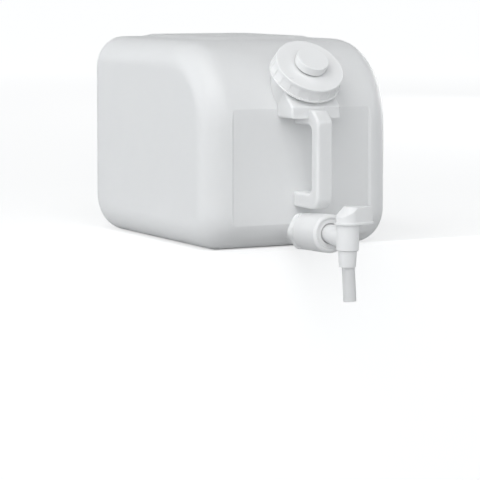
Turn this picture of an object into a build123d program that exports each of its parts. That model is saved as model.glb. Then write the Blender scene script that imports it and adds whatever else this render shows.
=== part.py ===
from build123d import *
import os
from math import asin, atan2, cos, degrees, radians, sin, tan

os.makedirs("parts", exist_ok=True)

# A rectangular 20 litre carboy with a screw cap on a neck tilted to the front, a loop handle
# below the neck and a quarter-turn spigot at the foot of the front face.
# Frame: origin at the middle of the base, X to the right, Y to the back, Z up, millimetres.

# Driving dimensions of the tank
body_width = 258.0
body_depth = 351.0
body_height = 254.0
front_top_radius = 101.0
back_top_radius = 42.0
back_bottom_radius = 48.0
front_bottom_radius = 45.0
side_radius = 33.0
wall = 2.5

# Shallow panel pressed into the front face
panel_width = 194.0
panel_low = 26.0
panel_below_top = 72.0
panel_depth = 2.0
panel_draft = 60.0
panel_corner_radius = 10.0

# Low raised pad on the flat of the top face, with a gentle slope all round
pad_side_margin = 12.0
pad_end_margin = 0.5
pad_height = 3.0
pad_slope = 14.0
pad_corner_radius = 30.0

# Neck for the main cap, tilted forwards from the vertical
neck_tilt = 43.3
rim_forward = 13.9
rim_below_top = 32.2
neck_radius = 38.0
neck_root = 44.0

# Loop handle
handle_width = 21.0
handle_thickness = 16.0
finger_gap = 42.0
handle_below_top = 81.0
handle_bottom = 53.0
leg_height = 18.5
handle_bevel = 13.0
handle_root = 14.0
handle_outer_radius = 16.0
handle_inner_radius = 9.0
handle_edge_radius = 3.5

# Block under the cap that carries the neck and the top of the handle
block_below_cap = 5.8
block_width = 67.0
block_reach = 34.0
block_below_handle = 10.5
block_root = 14.0
block_edge_radius = 3.0

# Outlet at the foot of the front face. Its axis rises a little towards the spigot
# and its height is given at the spigot's barrel.
outlet_height = 27.8
outlet_rise = 2.6
outlet_boss_radius = 25.4
outlet_boss_sides = 6
outlet_boss_corner_radius = 10.0
outlet_boss_reach = 16.0
outlet_boss_thickness = 10.0
outlet_neck_radius = 17.5
outlet_neck_reach = 60.0
outlet_root = 40.0

# Main cap
cap_radius = 43.0
cap_skirt_radius = 42.2
cap_skirt_flare = 2.3
cap_top_wall = 3.0
cap_edge_height = 5.0
cap_skirt_length = 13.4
cap_thread_gap = 1.0
cap_rib_count = 20
cap_rib_width = 2.4
cap_rib_height = 0.8
cap_edge_round = 0.8
cap_bead_height = 2.0
cap_bore_radius = 13.0
cap_spud_wall = 4.0
cap_spud_length = 8.0
liner_thickness = 2.0
liner_land = 4.5

# Vent plug in the middle of the main cap
plug_head_radius = 20.0
plug_head_height = 10.4
plug_head_draft = 1.5
plug_stem_length = 14.0
plug_wall = 3.0
plug_edge_radius = 0.8
plug_seal_thickness = 2.2
plug_seal_radius = 18.2
screw_clearance = 0.05

# Collar nut that holds the spigot on the outlet neck
nut_rear_radius = 22.8
nut_band_radius = 23.2
nut_front_radius = 23.5
nut_gap = 0.6
nut_rear_length = 19.0
nut_reach = 72.0
nut_dish_depth = 2.2
nut_dish_wall = 4.2
nut_hole_radius = 12.6
nut_lip_radius = 2.6
nut_clearance = 0.3

# Washer and spigot body
washer_thickness = 2.5
washer_bore_radius = 10.0
flange_thickness = 3.0
tube_radius = 11.3
tube_bore_radius = 6.5
cone_start = 69.0
cone_root = 10.5
barrel_reach = 111.5
barrel_radius = 13.5
barrel_top = 40.6
barrel_bottom = 9.5
cone_side_inset = 0.6
cone_end_inset = 0.15
rotor_radius = 9.0
rotor_clearance = 0.05
rotor_floor = 3.0
nozzle_bottom = -9.7
nozzle_top_radius = 11.4
nozzle_bottom_radius = 10.0
barrel_bevel = 1.2

# Outlet tube pushed into the nozzle
hose_radius = 7.8
hose_wall = 1.5
hose_bottom = -51.0
hose_seat = 17.0
hose_lean = 3.5
hose_clearance = 0.05

# Spigot lever, moulded in one piece with its rotor
lever_gap = 0.4
lever_head_radius = 14.2
lever_top = 62.0
lever_lip_height = 2.2
lever_lip_proud = 1.7
lever_reach = 33.0
lever_tip_radius = 6.0
lever_tip_slope = 3.2
lever_bevel_start = 49.5
lever_bevel_shift = 8.0
lever_bevel_ease = 0.3
lever_wall = 2.2
lever_edge_radius = 1.6
lever_crest_radius = 0.8
rotor_port_radius = 6.0
seal_section_radius = 1.0
seal_bore_gap = 0.02
seal_groove_gap = 0.03
seal_top_inset = 3.0
seal_bottom_inset = 2.4
seal_squeezed_radius = 0.9

# How far off an edge may lie and still count as being at a level
pick_margin = 0.01

# Places worked out from the driving dimensions
front = -body_depth / 2
pad_width = body_width - 2 * (side_radius + pad_side_margin)
pad_front = front + front_top_radius + pad_end_margin
pad_back = body_depth / 2 - back_top_radius - pad_end_margin
pad_draft = degrees(atan2(pad_slope, pad_height))
cap_seat = liner_thickness + cap_top_wall
cap_inner_radius = neck_radius + cap_thread_gap
neck_bore_radius = neck_radius - wall
neck_axis = Vector(0, -sin(radians(neck_tilt)), cos(radians(neck_tilt)))
rim = Plane(
    origin=(0, front - rim_forward, body_height - rim_below_top),
    x_dir=(1, 0, 0),
    z_dir=neck_axis,
)
bar_back = front + panel_depth - finger_gap
bar_front = bar_back - handle_thickness
handle_top = body_height - handle_below_top
block_bottom = handle_top - block_below_handle
panel_high = body_height - panel_below_top
outlet_start = outlet_height - barrel_reach * tan(radians(outlet_rise))
outlet_axis = Plane(
    origin=(0, front, outlet_start),
    x_dir=(1, 0, 0),
    z_dir=(0, -cos(radians(outlet_rise)), sin(radians(outlet_rise))),
)
nut_rear = outlet_boss_reach + nut_gap
nut_bore_radius = outlet_neck_radius + nut_clearance
washer_face = outlet_neck_reach + washer_thickness
flange_face = washer_face + flange_thickness
barrel_centre = front - barrel_reach
barrel_axis = Plane(origin=(0, barrel_centre, 0))
barrel_height = barrel_top - barrel_bottom
cone_end = barrel_reach - cone_root
cone_drop = outlet_height - (barrel_top + barrel_bottom) / 2
rotor_low = barrel_bottom + rotor_floor
rotor_outer_radius = rotor_radius - rotor_clearance
rotor_port_top = outlet_height + rotor_port_radius
lever_low = barrel_top + lever_gap
lever_pocket_start = rotor_outer_radius + lever_tip_radius
lever_pocket_depth = lever_top - lever_low - 2 * lever_wall
lever_side = asin((lever_head_radius - lever_tip_radius) / (lever_reach - lever_tip_radius))
bevel_foot_radius = lever_head_radius + lever_bevel_shift
bevel_top_radius = lever_head_radius - lever_bevel_shift * sin(lever_side) + lever_bevel_ease
seal_levels = [
    barrel_top - seal_top_inset,
    rotor_low + seal_bottom_inset,
]
seal_core_radius = rotor_radius - 2 * seal_squeezed_radius - seal_bore_gap - seal_groove_gap
seal_middle_radius = rotor_radius - seal_bore_gap - seal_squeezed_radius
hose_top = nozzle_bottom + hose_seat
hose_axis = Plane(
    origin=(0, barrel_centre, hose_top),
    x_dir=(0, -1, 0),
    z_dir=(sin(radians(hose_lean)), 0, -cos(radians(hose_lean))),
)


def block_top_at(y):
    """Height of the block's top face, which lies just under the cap's skirt and is tilted with it."""
    below_rim = cap_skirt_length + block_below_cap
    forward = y - rim.origin.Y
    return rim.origin.Z + (forward * sin(radians(neck_tilt)) - below_rim) / cos(radians(neck_tilt))


def tank_form(inset):
    """The closed tank, with every wall moved inwards by inset."""
    depth = body_depth - 2 * inset
    height = body_height - 2 * inset
    corners = [
        (-1, 1, front_top_radius),
        (1, 1, back_top_radius),
        (1, -1, back_bottom_radius),
        (-1, -1, front_bottom_radius),
    ]
    with BuildPart() as form:
        with BuildSketch(Plane.YZ) as profile:
            with Locations((0, body_height / 2)):
                Rectangle(depth, height)
            for back, up, radius in corners:
                corner = (back * depth / 2, body_height / 2 + up * height / 2)
                fillet(profile.vertices().sort_by_distance(corner)[0], radius - inset)
        extrude(amount=body_width / 2 - inset, both=True)
        ends = form.faces().filter_by(Axis.X)
        fillet(ends.edges(), side_radius - inset)
        with BuildSketch(Plane.XY.offset(body_height - inset)):
            with Locations((0, (pad_front + pad_back) / 2)):
                shrink = 2 * inset * tan(radians(pad_draft / 2))
                RectangleRounded(
                    pad_width - shrink, pad_back - pad_front - shrink, pad_corner_radius
                )
        extrude(amount=pad_height, taper=pad_draft)
        pressed = Plane(
            origin=(0, front + inset, (panel_low + panel_high) / 2),
            x_dir=(-1, 0, 0),
            z_dir=(0, 1, 0),
        )
        spread = 2 * inset * tan(radians(panel_draft / 2))
        with BuildSketch(pressed):
            RectangleRounded(
                panel_width + spread, panel_high - panel_low + spread, panel_corner_radius
            )
        extrude(amount=panel_depth, taper=panel_draft, mode=Mode.SUBTRACT)
    return form.part


def free_edges(form, rear):
    """The edges of the form's two sides, without those that lie at its rear, inside the tank."""
    sides = form.faces().filter_by(Axis.X)
    return sides.edges().filter_by(lambda edge: edge.center().Y < rear - pick_margin)


def neck_form(radius, above):
    """The neck as a plug of this radius, from its rim down into the tank."""
    with BuildPart() as form:
        with BuildSketch(rim.offset(above)):
            Circle(radius)
        extrude(amount=-(neck_root + above))
    return form.part


def block_form(inset):
    """The block under the cap, square at the front, with its top face square to the neck."""
    block_front = front - block_reach
    block_rear = front + block_root
    with BuildPart() as form:
        with BuildSketch(Plane.YZ):
            with BuildLine():
                Polyline(
                    (block_front, block_top_at(block_front)),
                    (block_front, block_bottom),
                    (block_rear, block_bottom),
                    (block_rear, block_top_at(block_rear)),
                    close=True,
                )
            make_face()
            if inset:
                offset(amount=-inset, mode=Mode.REPLACE)
        extrude(amount=block_width / 2 - inset, both=True)
        fillet(free_edges(form, block_rear - inset), block_edge_radius - inset)
    return form.part


def handle_form(inset):
    """The loop handle as one bent bar, with every face moved inwards by inset."""
    rooted = front + handle_root
    with BuildPart() as form:
        with BuildSketch(Plane.YZ) as loop:
            with BuildLine():
                Polyline(
                    (rooted, handle_bottom),
                    (bar_front, handle_bottom),
                    (bar_front, handle_top - handle_bevel),
                    (bar_front + handle_bevel, handle_top),
                    (rooted, handle_top),
                    (rooted, handle_top - leg_height),
                    (bar_back, handle_top - leg_height),
                    (bar_back, handle_bottom + leg_height),
                    (rooted, handle_bottom + leg_height),
                    close=True,
                )
            make_face()
            outer = [(bar_front, handle_bottom)]
            bent = [(bar_front, handle_top - handle_bevel), (bar_front + handle_bevel, handle_top)]
            inner = [(bar_back, handle_top - leg_height), (bar_back, handle_bottom + leg_height)]
            for corner in outer:
                fillet(loop.vertices().sort_by_distance(corner)[0], handle_outer_radius)
            for corner in bent + inner:
                fillet(loop.vertices().sort_by_distance(corner)[0], handle_inner_radius)
            if inset:
                offset(amount=-inset, mode=Mode.REPLACE)
        extrude(amount=handle_width / 2 - inset, both=True)
        fillet(free_edges(form, rooted - inset), handle_edge_radius - inset)
    return form.part


def outlet_form(inset, above):
    """The round outlet neck that the spigot screws to."""
    with BuildPart() as form:
        with BuildSketch(outlet_axis.offset(outlet_neck_reach + above)):
            Circle(outlet_neck_radius - inset)
        extrude(amount=-(outlet_root + outlet_neck_reach + above))
    return form.part


def ring(plane, low, high, outer_radius, inner_radius):
    """A plain ring along the plane's axis, from low to high."""
    with BuildPart() as form:
        with BuildSketch(plane.offset(low)):
            Circle(outer_radius)
            Circle(inner_radius, mode=Mode.SUBTRACT)
        extrude(amount=high - low)
    return form.part


# The space inside the tank, through its handle, neck and outlet
with BuildPart() as cavity:
    add(tank_form(wall))
    add(neck_form(neck_bore_radius, wall))
    add(handle_form(wall))
    add(outlet_form(wall, wall))
    add(block_form(wall))

# The blow-moulded tank, one hollow shell with its handle, neck and outlet
with BuildPart() as carboy_body:
    add(tank_form(0))
    add(neck_form(neck_radius, 0))
    add(handle_form(0))
    add(outlet_form(0, 0))
    with BuildSketch(outlet_axis.offset(outlet_boss_reach)) as boss:
        RegularPolygon(outlet_boss_radius, outlet_boss_sides)
        fillet(boss.vertices(), outlet_boss_corner_radius)
    extrude(amount=-outlet_boss_thickness)
    add(block_form(0))
    add(cavity.part, mode=Mode.SUBTRACT)

# Ribs of the screw cap, cut from a ring that follows the flared skirt
cap_foot_radius = cap_skirt_radius + cap_skirt_flare
with BuildPart() as cap_ribs:
    with BuildSketch(Plane.YZ):
        with BuildLine():
            Polyline(
                (cap_inner_radius, -cap_skirt_length),
                (cap_foot_radius + cap_rib_height, -cap_skirt_length),
                (cap_skirt_radius + cap_rib_height, cap_seat - cap_edge_height),
                (cap_inner_radius, cap_seat - cap_edge_height),
                close=True,
            )
        make_face()
    revolve(axis=Axis.Z)
    with BuildSketch(Plane.XY.offset(-cap_skirt_length)):
        with PolarLocations(cap_foot_radius, cap_rib_count):
            Rectangle(2 * (cap_foot_radius - cap_inner_radius), cap_rib_width)
    extrude(amount=cap_skirt_length + cap_seat - cap_edge_height, mode=Mode.INTERSECT)

# Screw cap: a flat top with an overhanging edge, a ribbed skirt and a central spud
with BuildPart() as main_cap:
    with BuildSketch(Plane.YZ):
        with BuildLine():
            Polyline(
                (cap_bore_radius, -cap_spud_length),
                (cap_bore_radius + cap_spud_wall, -cap_spud_length),
                (cap_bore_radius + cap_spud_wall, liner_thickness),
                (cap_inner_radius, liner_thickness),
                (cap_inner_radius, -cap_skirt_length),
                (cap_foot_radius, -cap_skirt_length),
                (cap_skirt_radius, cap_seat - cap_edge_height),
                (cap_radius, cap_seat - cap_edge_height),
                (cap_radius, cap_seat - cap_edge_round),
                (cap_radius - cap_edge_round, cap_seat),
                (cap_bore_radius, cap_seat),
                close=True,
            )
        make_face()
    revolve(axis=Axis.Z)
    add(cap_ribs.part)
    with BuildSketch(Plane.XY.offset(-cap_skirt_length)):
        Circle(cap_foot_radius + cap_rib_height)
        Circle(cap_inner_radius, mode=Mode.SUBTRACT)
    extrude(amount=cap_bead_height)

# Soft liner between the cap and the rim of the neck
liner = ring(
    Plane.XY, 0, liner_thickness, cap_inner_radius - screw_clearance, neck_bore_radius - liner_land
)

# Vent plug: a plain round head and a hollow stem that screws into the cap
plug_low = cap_seat + plug_seal_thickness
with BuildPart() as vent_plug:
    with BuildSketch(Plane.XY.offset(plug_low)):
        Circle(plug_head_radius)
    extrude(amount=plug_head_height, taper=plug_head_draft)
    fillet(vent_plug.faces().sort_by(Axis.Z)[-1].edges(), plug_edge_radius)
    with BuildSketch(Plane.XY.offset(plug_low)):
        Circle(cap_bore_radius - screw_clearance)
    extrude(amount=-plug_stem_length)
    with BuildSketch(Plane.XY.offset(plug_low - plug_stem_length)):
        Circle(cap_bore_radius - screw_clearance - plug_wall)
    extrude(amount=plug_stem_length + plug_head_height - plug_wall, mode=Mode.SUBTRACT)

# Seal under the head of the vent plug
plug_seal = ring(Plane.XY, cap_seat, plug_low, plug_seal_radius, cap_bore_radius)

# Collar nut: a rear band, a slightly conical front band and a dished end wall
with BuildPart() as collar_nut:
    with BuildSketch(Plane.YZ):
        with BuildLine():
            Polyline(
                (nut_bore_radius, nut_rear),
                (nut_rear_radius, nut_rear),
                (nut_rear_radius, nut_rear + nut_rear_length),
                (nut_band_radius, nut_rear + nut_rear_length),
                (nut_front_radius, nut_reach - nut_lip_radius),
                (nut_front_radius - nut_lip_radius, nut_reach),
                (nut_front_radius - nut_dish_wall, nut_reach),
                (nut_front_radius - nut_dish_wall - nut_dish_depth, nut_reach - nut_dish_depth),
                (nut_hole_radius, nut_reach - nut_dish_depth),
                (nut_hole_radius, flange_face),
                (nut_bore_radius, flange_face),
                close=True,
            )
        make_face()
    revolve(axis=Axis.Z)

# Flat washer between the outlet neck and the flange of the spigot
washer = ring(
    Plane.XY, outlet_neck_reach, washer_face, outlet_neck_radius, washer_bore_radius
)

# Spigot body: upright barrel bevelled at its foot, flange, tube, cone that flares to the height
# of the barrel, tapered nozzle
with BuildPart() as spigot_body:
    with BuildSketch(barrel_axis.offset(barrel_bottom)):
        Circle(barrel_radius)
    extrude(amount=barrel_height)
    chamfer(spigot_body.faces().sort_by(Axis.Z)[0].edges(), barrel_bevel)
    with BuildSketch(outlet_axis.offset(washer_face)):
        Circle(outlet_neck_radius)
    extrude(amount=flange_thickness)
    with BuildSketch(outlet_axis.offset(washer_face)):
        Circle(tube_radius)
    extrude(amount=cone_start - washer_face)
    with BuildSketch(outlet_axis.offset(cone_start)):
        Circle(tube_radius)
    with BuildSketch(outlet_axis.offset(cone_end)) as cone_foot:
        with Locations((0, -cone_drop)):
            Ellipse(barrel_radius - cone_side_inset, barrel_height / 2 - barrel_bevel - cone_end_inset)
    loft()
    extrude(cone_foot.sketch, amount=cone_root)
    with BuildSketch(barrel_axis.offset(barrel_bottom)):
        Circle(nozzle_top_radius)
    with BuildSketch(barrel_axis.offset(nozzle_bottom)):
        Circle(nozzle_bottom_radius)
    loft()
    with BuildSketch(barrel_axis.offset(rotor_low)):
        Circle(rotor_radius)
    extrude(amount=barrel_top - rotor_low, mode=Mode.SUBTRACT)
    with BuildSketch(outlet_axis.offset(washer_face)):
        Circle(tube_bore_radius)
    extrude(amount=barrel_reach - washer_face, mode=Mode.SUBTRACT)
    with BuildSketch(barrel_axis.offset(rotor_low)):
        Circle(tube_bore_radius)
    extrude(amount=-(rotor_low - nozzle_bottom), mode=Mode.SUBTRACT)
    with BuildSketch(hose_axis):
        Circle(hose_radius + hose_clearance)
    extrude(amount=2 * hose_seat, mode=Mode.SUBTRACT)

# Outlet tube, a plain tube pushed into the nozzle and leaning a little
with BuildPart() as outlet_tube:
    with BuildSketch(hose_axis.offset(hose_clearance)):
        Circle(hose_radius)
        Circle(hose_radius - hose_wall, mode=Mode.SUBTRACT)
    extrude(amount=(hose_top - hose_bottom) / cos(radians(hose_lean)) - hose_clearance)

# Lever with its rotor: round and bevelled at the axis, narrowing to the tip, hollow underneath
with BuildPart() as tap_lever:
    with BuildSketch(barrel_axis.offset(lever_low)):
        Circle(lever_head_radius + lever_lip_proud)
        with Locations((lever_reach - lever_tip_radius, 0)):
            Circle(lever_tip_radius + lever_lip_proud)
        make_hull()
    extrude(amount=lever_lip_height)
    with BuildSketch(barrel_axis.offset(lever_low)):
        Circle(lever_head_radius)
        with Locations((lever_reach - lever_tip_radius, 0)):
            Circle(lever_tip_radius)
        make_hull()
    extrude(amount=lever_top - lever_low)
    with BuildSketch(Plane.XZ.offset(-barrel_centre)):
        with BuildLine():
            Polyline(
                (lever_reach, lever_low + lever_lip_height),
                (lever_reach - lever_tip_slope, lever_top),
                (lever_reach, lever_top),
                close=True,
            )
        make_face()
    extrude(amount=lever_head_radius, both=True, mode=Mode.SUBTRACT)
    upper = tap_lever.edges().filter_by(lambda edge: edge.center().Z > lever_top - pick_margin)
    fillet(upper, lever_edge_radius)
    bevel_start = Plane(
        origin=(lever_bevel_shift, barrel_centre, 0),
        x_dir=(sin(lever_side), cos(lever_side), 0),
        z_dir=(cos(lever_side), -sin(lever_side), 0),
    )
    with BuildSketch(bevel_start):
        with BuildLine():
            Polyline(
                (bevel_foot_radius, lever_bevel_start),
                (bevel_foot_radius, lever_top + lever_wall),
                (bevel_top_radius, lever_top + lever_wall),
                (bevel_top_radius, lever_top),
                close=True,
            )
        make_face()
    bevel_axis = Axis((lever_bevel_shift, barrel_centre, 0), (0, 0, 1))
    revolve(axis=bevel_axis, revolution_arc=180 + 2 * degrees(lever_side), mode=Mode.SUBTRACT)
    crest = tap_lever.edges().group_by(Axis.Z)[-1].sort_by(Axis.X)[0]
    fillet(crest, lever_crest_radius)
    with BuildSketch(barrel_axis.offset(lever_low)):
        with Locations((lever_reach - lever_tip_radius, 0)):
            Circle(lever_tip_radius - lever_wall)
        with Locations((lever_pocket_start, 0)):
            Circle(lever_tip_radius)
        make_hull()
    extrude(amount=lever_pocket_depth, mode=Mode.SUBTRACT)
    with BuildSketch(barrel_axis.offset(lever_low)):
        Circle(rotor_outer_radius)
    extrude(amount=-(lever_low - rotor_low - rotor_clearance))
    with BuildSketch(barrel_axis.offset(rotor_low)):
        Circle(rotor_port_radius)
    extrude(amount=rotor_port_top - rotor_low, mode=Mode.SUBTRACT)
    port = Plane(origin=(0, barrel_centre, outlet_height), z_dir=(-1, 0, 0))
    with BuildSketch(port):
        Circle(rotor_port_radius)
    extrude(amount=rotor_outer_radius, mode=Mode.SUBTRACT)
    for level in seal_levels:
        with BuildSketch(barrel_axis.offset(level - seal_section_radius)):
            Circle(rotor_outer_radius)
            Circle(seal_core_radius, mode=Mode.SUBTRACT)
        extrude(amount=2 * seal_section_radius, mode=Mode.SUBTRACT)

# Two ring seals in the grooves of the rotor
seals = []
for level in seal_levels:
    with BuildPart() as seal:
        section = Plane(
            origin=(seal_middle_radius, barrel_centre, level), x_dir=(1, 0, 0), z_dir=(0, -1, 0)
        )
        with BuildSketch(section):
            Ellipse(seal_squeezed_radius, seal_section_radius - seal_groove_gap)
        revolve(axis=Axis((0, barrel_centre, 0), (0, 0, 1)))
    seals.append(seal.part)

# Pieces drawn about their own axis are moved to the neck or to the outlet
to_neck = rim.location
to_outlet = outlet_axis.location
pieces = {
    "carboy_body": carboy_body.part,
    "main_cap": main_cap.part.moved(to_neck),
    "cap_liner": liner.moved(to_neck),
    "vent_plug": vent_plug.part.moved(to_neck),
    "vent_plug_seal": plug_seal.moved(to_neck),
    "collar_nut": collar_nut.part.moved(to_outlet),
    "spigot_washer": washer.moved(to_outlet),
    "spigot_body": spigot_body.part,
    "outlet_tube": outlet_tube.part,
    "tap_lever": tap_lever.part,
    "rotor_seal_upper": seals[0],
    "rotor_seal_lower": seals[1],
}
for name, piece in pieces.items():
    piece.label = name
    export_step(piece, f"parts/{name}.step")
    print(name, round(piece.volume / 1000, 2), "cm3", len(piece.solids()), piece.is_valid)
print("litres inside", round(cavity.part.volume / 1e6, 2))
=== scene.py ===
import math

import bmesh
import bpy
from mathutils import Matrix, Vector


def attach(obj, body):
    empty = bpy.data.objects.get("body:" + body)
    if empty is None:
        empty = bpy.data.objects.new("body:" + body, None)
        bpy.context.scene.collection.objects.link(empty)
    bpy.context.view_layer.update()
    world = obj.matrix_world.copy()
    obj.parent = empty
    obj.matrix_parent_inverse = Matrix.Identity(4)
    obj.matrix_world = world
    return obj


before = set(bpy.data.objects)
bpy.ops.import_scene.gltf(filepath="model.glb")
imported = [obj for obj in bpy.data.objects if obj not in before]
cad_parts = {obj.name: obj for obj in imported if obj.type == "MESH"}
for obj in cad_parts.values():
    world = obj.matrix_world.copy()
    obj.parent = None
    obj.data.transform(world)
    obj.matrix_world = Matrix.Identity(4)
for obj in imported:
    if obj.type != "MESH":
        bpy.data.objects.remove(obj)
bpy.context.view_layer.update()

# A rectangular carboy of milky plastic with a screw cap, a loop handle and a spigot, on a pale table.
# Metres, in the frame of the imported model: +X right, +Y back, +Z up, origin in the middle of the base.

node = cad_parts


# Camera, solved from the outline of the object
camera_place = Vector((-1.41079, -2.72769, 0.33945))
camera_yaw = math.radians(27.4355)
camera_pitch = math.radians(6.4264)
camera_roll = math.radians(0.0767)
camera_lens = 179.37

# Neck and cap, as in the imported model: the middle of the neck's rim, its axis and its radius
rim_middle = Vector((0.0, -0.1894, 0.2218))
neck_tilt = math.radians(43.3)
neck_axis = Vector((0.0, -math.sin(neck_tilt), math.cos(neck_tilt)))
neck_radius = 0.038
cap_bore_radius = 0.039

# Table and floor
table_front = -0.150
table_edge = 0.004
table_half_width = 15.0
table_back = 30.0
floor_level = -0.75

# The world's light: where it comes from, and its strength on the side away from there and towards it
world_from = (-0.2, -0.3, -0.93)
world_away = -0.93
world_towards = 0.2
world_weak = 0.12
world_strong = 1.20


def make_camera():
    """The camera at the photograph's viewing angle."""
    data = bpy.data.cameras.new("camera")
    data.lens = camera_lens
    data.sensor_width = 36.0
    data.clip_end = 100.0
    camera = bpy.data.objects.new("camera", data)
    bpy.context.scene.collection.objects.link(camera)
    flat = math.cos(camera_pitch)
    forward = Vector((math.sin(camera_yaw) * flat, math.cos(camera_yaw) * flat, -math.sin(camera_pitch)))
    right = Vector((math.cos(camera_yaw), -math.sin(camera_yaw), 0.0))
    up = right.cross(forward)
    rolled_right = right * math.cos(camera_roll) + up * math.sin(camera_roll)
    rolled_up = up * math.cos(camera_roll) - right * math.sin(camera_roll)
    turn = Matrix((rolled_right, rolled_up, -forward)).transposed()
    camera.matrix_world = Matrix.Translation(camera_place) @ turn.to_4x4()
    bpy.context.scene.camera = camera


def make_mesh(name, points, faces, material, smooth=False):
    """A mesh object from its points and faces."""
    data = bpy.data.meshes.new(name)
    data.from_pydata(points, [], faces)
    data.materials.append(material)
    for face in data.polygons:
        face.use_smooth = smooth
    data.update()
    made = bpy.data.objects.new(name, data)
    bpy.context.scene.collection.objects.link(made)
    return made


def shade(data, angle):
    """Smooth shading, with the edges sharper than the angle kept."""
    data.shade_smooth()
    data.set_sharp_from_angle(angle=math.radians(angle))


def screw_ridge(name, radius, height, low, high, pitch, material):
    """A thread's ridge about the neck's axis: outwards if its height is positive, else inwards."""
    steps_per_turn = 72
    steps = round((high - low) / pitch * steps_per_turn)
    across = Vector((1.0, 0.0, 0.0))
    up = neck_axis.cross(across)
    root = radius - math.copysign(0.0001, height)
    points = []
    for step in range(steps + 1):
        angle = 2.0 * math.pi * step / steps_per_turn
        level = low + pitch * step / steps_per_turn
        grown = min(1.0, step / 10.0, (steps - step) / 10.0)
        crest = radius + height * grown
        outwards = across * math.cos(angle) + up * math.sin(angle)
        for reach, shift in ((root, -0.0014), (crest, -0.0006), (crest, 0.0006), (root, 0.0014)):
            points.append(rim_middle + outwards * reach + neck_axis * (level + shift))
    faces = [(0, 1, 2, 3), tuple(4 * steps + k for k in (3, 2, 1, 0))]
    for step in range(steps):
        for side in range(4):
            here, beside = 4 * step + side, 4 * step + (side + 1) % 4
            faces.append((here, here + 4, beside + 4, beside))
    made = make_mesh(name, points, faces, material)
    tidy = bmesh.new()
    tidy.from_mesh(made.data)
    bmesh.ops.recalc_face_normals(tidy, faces=tidy.faces)
    tidy.to_mesh(made.data)
    tidy.free()
    shade(made.data, 40.0)
    return made


class Nodes:
    """A material's node tree, with short ways to add nodes and links."""

    def __init__(self, name):
        self.material = bpy.data.materials.new(name)
        self.material.use_nodes = True
        self.tree = self.material.node_tree
        self.tree.nodes.clear()
        self.output = self.tree.nodes.new("ShaderNodeOutputMaterial")

    def add(self, kind, inputs=None, **settings):
        made = self.tree.nodes.new("ShaderNode" + kind)
        for key, value in settings.items():
            setattr(made, key, value)
        for key, value in (inputs or {}).items():
            if isinstance(value, bpy.types.NodeSocket):
                self.tree.links.new(value, made.inputs[key])
            else:
                made.inputs[key].default_value = value
        return made

    def place(self):
        return self.add("TexCoord").outputs["Object"]

    def noise(self, scale, detail=2.0, roughness=0.5, stretch=None):
        place = self.place()
        if stretch:
            place = self.add("Mapping", {"Vector": place, "Scale": stretch}).outputs["Vector"]
        kept = {"Vector": place, "Scale": scale, "Detail": detail, "Roughness": roughness}
        return self.add("TexNoise", kept).outputs["Fac"]

    def spread(self, value, low, high):
        """A noise value brought to the range from low to high."""
        kept = {"Value": value, "From Min": 0.3, "From Max": 0.7, "To Min": low, "To Max": high}
        return self.add("MapRange", kept).outputs["Result"]

    def mix(self, share, first, second):
        made = self.add("Mix", {"Factor": share}, data_type="RGBA")
        made.inputs["A"].default_value = first
        made.inputs["B"].default_value = second
        return made.outputs["Result"]

    def bump(self, height, distance, strength=1.0, below=None):
        kept = {"Height": height, "Distance": distance, "Strength": strength}
        if below:
            kept["Normal"] = below
        return self.add("Bump", kept).outputs["Normal"]


def rgba(r, g, b):
    return (r, g, b, 1.0)


def moulded_plastic(name, light, dark, roughness, scatter, wave=0.0, grain=0.00002):
    """Moulded plastic: faint clouding, uneven gloss, fine grain and, if blown, gentle waves.

    Scatter is the share of the light that goes into the plastic, and how far it goes there.
    """
    n = Nodes(name)
    clouds = n.spread(n.noise(18.0, 3.0), 0.0, 1.0)
    colour = n.mix(clouds, light, dark)
    gloss = n.spread(n.noise(35.0, 4.0, 0.6), roughness - 0.05, roughness + 0.05)
    normal = n.bump(n.noise(900.0, 2.0), grain)
    if wave:
        normal = n.bump(n.noise(11.0, 1.0, 0.4, (1.0, 1.0, 0.6)), wave, 1.0, normal)
    shader = n.add("BsdfPrincipled", {"Base Color": colour, "Roughness": gloss, "Normal": normal})
    shader.subsurface_method = "RANDOM_WALK"
    shader.inputs["Subsurface Weight"].default_value = scatter[0]
    shader.inputs["Subsurface Radius"].default_value = (1.0, 1.0, 1.0)
    shader.inputs["Subsurface Scale"].default_value = scatter[1]
    shader.inputs["IOR"].default_value = 1.5
    n.tree.links.new(shader.outputs["BSDF"], n.output.inputs["Surface"])
    return n.material


def soft_rubber(name, light, dark, roughness):
    """Rubber or foam: a fine speckle and a dull surface."""
    n = Nodes(name)
    colour = n.mix(n.spread(n.noise(1500.0, 3.0), 0.0, 1.0), light, dark)
    gloss = n.spread(n.noise(200.0), roughness - 0.06, roughness + 0.06)
    normal = n.bump(n.noise(2500.0), 0.00005)
    shader = n.add("BsdfPrincipled", {"Base Color": colour, "Roughness": gloss, "Normal": normal})
    n.tree.links.new(shader.outputs["BSDF"], n.output.inputs["Surface"])
    return n.material


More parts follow.
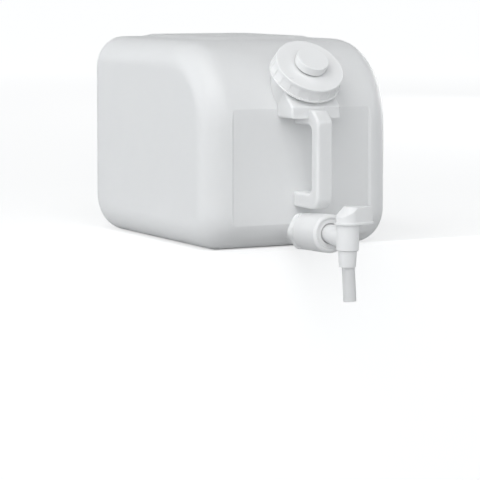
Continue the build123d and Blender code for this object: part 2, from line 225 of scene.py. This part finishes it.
def pale_stage(name, colour, lift_near, lift_far):
    """The floor's paint: plain and matt, and in the picture nearly as white as the backdrop."""
    n = Nodes(name)
    paint = n.add("BsdfDiffuse", {"Color": colour})
    away = n.add("VectorMath", {0: n.place()}, operation="LENGTH").outputs["Value"]
    reach = {"Value": away, "From Min": 0.8, "From Max": 5.0, "To Min": lift_near, "To Max": lift_far}
    lift = n.add("MapRange", reach).outputs["Result"]
    glow = n.add("Emission", {"Color": rgba(1.0, 1.0, 1.0), "Strength": lift})
    both = n.add("AddShader")
    n.tree.links.new(paint.outputs["BSDF"], both.inputs[0])
    n.tree.links.new(glow.outputs["Emission"], both.inputs[1])
    choice = n.add("MixShader", {"Fac": n.add("LightPath").outputs["Is Camera Ray"]})
    n.tree.links.new(paint.outputs["BSDF"], choice.inputs[1])
    n.tree.links.new(both.outputs["Shader"], choice.inputs[2])
    n.tree.links.new(choice.outputs["Shader"], n.output.inputs["Surface"])
    return n.material


def make_stage():
    """A table with its front edge just under the tank's front, so that the tube can hang."""
    material = pale_stage("pale_floor", rgba(0.60, 0.60, 0.60), 0.55, 0.75)
    x, y, z = table_half_width, table_front, floor_level
    back = table_back
    points = [
        (-x, y + table_edge, 0.0), (x, y + table_edge, 0.0), (x, back, 0.0), (-x, back, 0.0),
        (-x, y, -table_edge), (x, y, -table_edge), (-x, y, z), (x, y, z),
        (-x, -back, z), (x, -back, z),
    ]
    faces = [(0, 1, 2, 3), (4, 5, 1, 0), (6, 7, 5, 4), (8, 9, 7, 6)]
    make_mesh("table", points, faces, material)


def make_world():
    """White to the camera. To all else a soft light, strong at the horizon and in front, weak overhead."""
    world = bpy.data.worlds.new("world")
    bpy.context.scene.world = world
    world.use_nodes = True
    tree = world.node_tree
    tree.nodes.clear()
    output = tree.nodes.new("ShaderNodeOutputWorld")
    seen = tree.nodes.new("ShaderNodeBackground")
    seen.inputs["Color"].default_value = rgba(1.0, 1.0, 1.0)
    seen.inputs["Strength"].default_value = 1.0
    light = tree.nodes.new("ShaderNodeBackground")
    light.inputs["Color"].default_value = rgba(0.95, 0.98, 1.0)
    place = tree.nodes.new("ShaderNodeTexCoord")
    facing = tree.nodes.new("ShaderNodeVectorMath")
    facing.operation = "DOT_PRODUCT"
    facing.inputs[1].default_value = world_from
    strength = tree.nodes.new("ShaderNodeMapRange")
    strength.inputs["From Min"].default_value = world_away
    strength.inputs["From Max"].default_value = world_towards
    strength.inputs["To Min"].default_value = world_weak
    strength.inputs["To Max"].default_value = world_strong
    tree.links.new(place.outputs["Generated"], facing.inputs[0])
    tree.links.new(facing.outputs["Value"], strength.inputs["Value"])
    tree.links.new(strength.outputs["Result"], light.inputs["Strength"])
    choice = tree.nodes.new("ShaderNodeMixShader")
    path = tree.nodes.new("ShaderNodeLightPath")
    tree.links.new(path.outputs["Is Camera Ray"], choice.inputs["Fac"])
    tree.links.new(light.outputs["Background"], choice.inputs[1])
    tree.links.new(seen.outputs["Background"], choice.inputs[2])
    tree.links.new(choice.outputs["Shader"], output.inputs["Surface"])


def make_light(name, place, aim, size, power, colour=(1.0, 1.0, 1.0)):
    """A square soft light at a place, aimed at a point."""
    data = bpy.data.lights.new(name, "AREA")
    data.shape = "RECTANGLE"
    data.size, data.size_y = size
    data.energy = power
    data.color = colour
    lamp = bpy.data.objects.new(name, data)
    bpy.context.scene.collection.objects.link(lamp)
    lamp.location = place
    lamp.rotation_mode = "QUATERNION"
    lamp.rotation_quaternion = (Vector(aim) - Vector(place)).to_track_quat("-Z", "Y")


def make_lights():
    middle = (0.0, -0.05, 0.12)
    make_light("key", (-1.45, -2.15, 2.1), middle, (3.2, 2.8), 43.0)
    make_light("left", (-2.6, 1.5, 0.9), middle, (2.6, 2.2), 20.0, (0.96, 0.98, 1.0))
    make_light("right", (2.9, 1.3, 0.35), middle, (2.4, 1.6), 34.0)
    make_light("top", (-0.95, -0.45, 2.05), middle, (0.45, 0.45), 4.0)


def give(name, material):
    """A CAD node's new material."""
    data = node[name].data
    data.materials.clear()
    data.materials.append(material)


milky = moulded_plastic(
    "milky_plastic", rgba(0.94, 0.945, 0.945), rgba(0.92, 0.925, 0.93), 0.42, (0.8, 0.007), 0.0006
)
white = moulded_plastic(
    "white_plastic", rgba(0.89, 0.89, 0.89), rgba(0.865, 0.865, 0.865), 0.32, (0.15, 0.004)
)
spout = moulded_plastic(
    "spout_plastic", rgba(0.86, 0.86, 0.86), rgba(0.835, 0.835, 0.835), 0.36, (0.15, 0.004)
)
tube = moulded_plastic(
    "tube_plastic", rgba(0.78, 0.78, 0.78), rgba(0.75, 0.75, 0.75), 0.32, (0.4, 0.004)
)
rubber = soft_rubber("seal_rubber", rgba(0.20, 0.205, 0.21), rgba(0.16, 0.165, 0.17), 0.6)
foam = soft_rubber("liner_foam", rgba(0.80, 0.80, 0.78), rgba(0.72, 0.72, 0.70), 0.8)

give("carboy_body", milky)
for name in ("main_cap", "vent_plug"):
    give(name, white)
for name in ("collar_nut", "spigot_body", "tap_lever"):
    give(name, spout)
give("outlet_tube", tube)
give("cap_liner", foam)
for name in ("vent_plug_seal", "spigot_washer", "rotor_seal_upper", "rotor_seal_lower"):
    give(name, rubber)

neck_thread = screw_ridge("neck_thread", neck_radius, 0.00075, -0.0125, -0.0030, 0.0055, milky)
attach(neck_thread, "vessel")
cap_thread = screw_ridge("cap_thread", cap_bore_radius, -0.0002, -0.0120, -0.0025, 0.0055, white)
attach(cap_thread, "cap")

make_camera()
make_stage()
make_world()
make_lights()
bpy.context.scene.view_settings.view_transform = "Standard"
